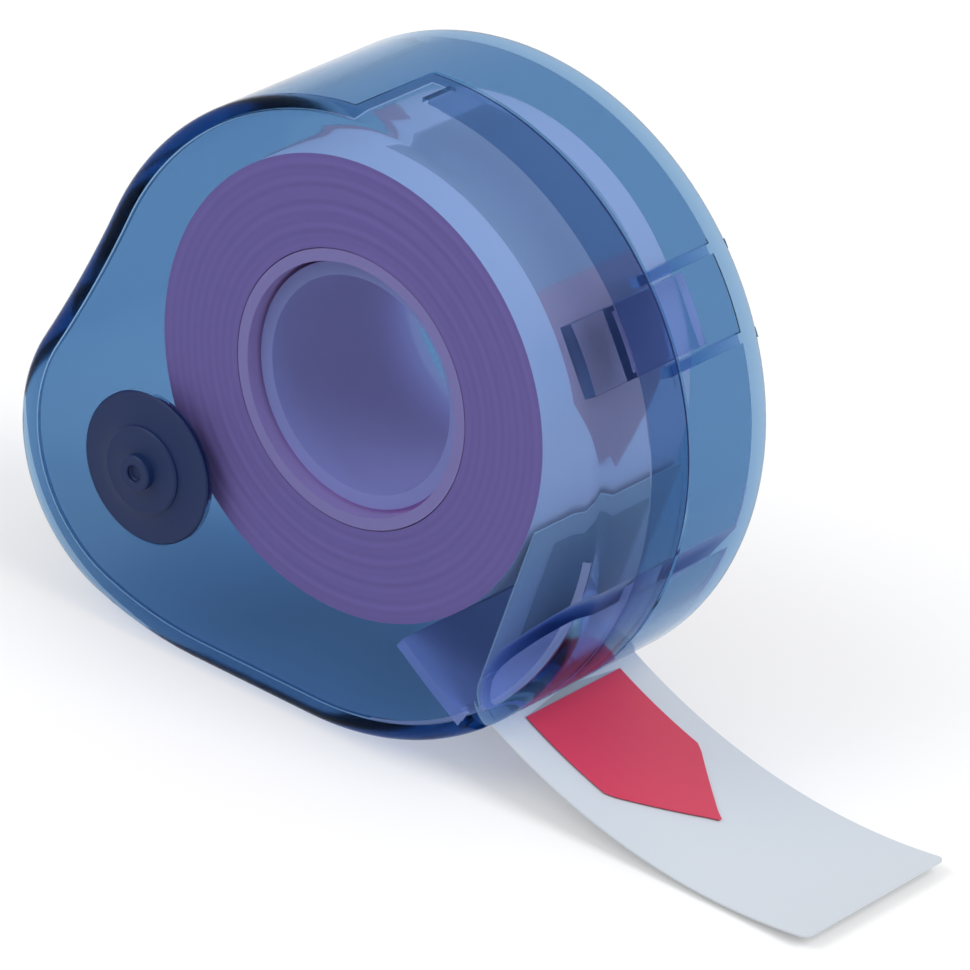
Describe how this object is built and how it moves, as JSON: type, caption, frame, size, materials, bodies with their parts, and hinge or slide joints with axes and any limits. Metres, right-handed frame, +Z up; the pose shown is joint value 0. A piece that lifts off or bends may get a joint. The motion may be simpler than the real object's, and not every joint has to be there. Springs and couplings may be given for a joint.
{
  "type": "sticky index tab dispenser",
  "caption": "See-through teardrop case holding a roll of sticky arrow flags on a liner strip that leaves a slot; the cover pulls off and the roll turns on a hub.",
  "frame": {"origin": "middle of the flat base, half way through the depth", "axes": "+X along the base towards the free end of the strip, +Y from the front face to the rear face, +Z up"},
  "size_m": [0.0981, 0.029, 0.0636],
  "materials": {
    "case_back": "tinted see-through blue, moulded and glossy",
    "case_cover": "tinted see-through blue, moulded and glossy",
    "stud": "dark blue-black, satin",
    "core_card": "wound card tube",
    "wound_liner": "edges of wound pale liner and red film",
    "liner": "smooth pale release liner",
    "flag_film": "printed red film with a clear tail"
  },
  "bodies": {
    "case": {"case_back": "case_back", "liner_strip": "liner", "arrow_flag": "flag_film"},
    "cover": {"case_cover": "case_cover", "locking_stud": "stud"},
    "roll": {"roll_core": "core_card", "flag_roll": "wound_liner", "roll_flag_1": "flag_film", "roll_flag_2": "flag_film", "roll_flag_3": "flag_film"}
  },
  "joints": [
    {"name": "cover_pull", "type": "slide", "parent": "case", "child": "cover", "axis": [0, -1, 0], "range_m": [0, 0.03]},
    {"name": "roll_spin", "type": "hinge", "parent": "case", "child": "roll", "pos_m": [0.00716, 0, 0.0348], "axis": [0, 1, 0], "continuous": true}
  ]
}
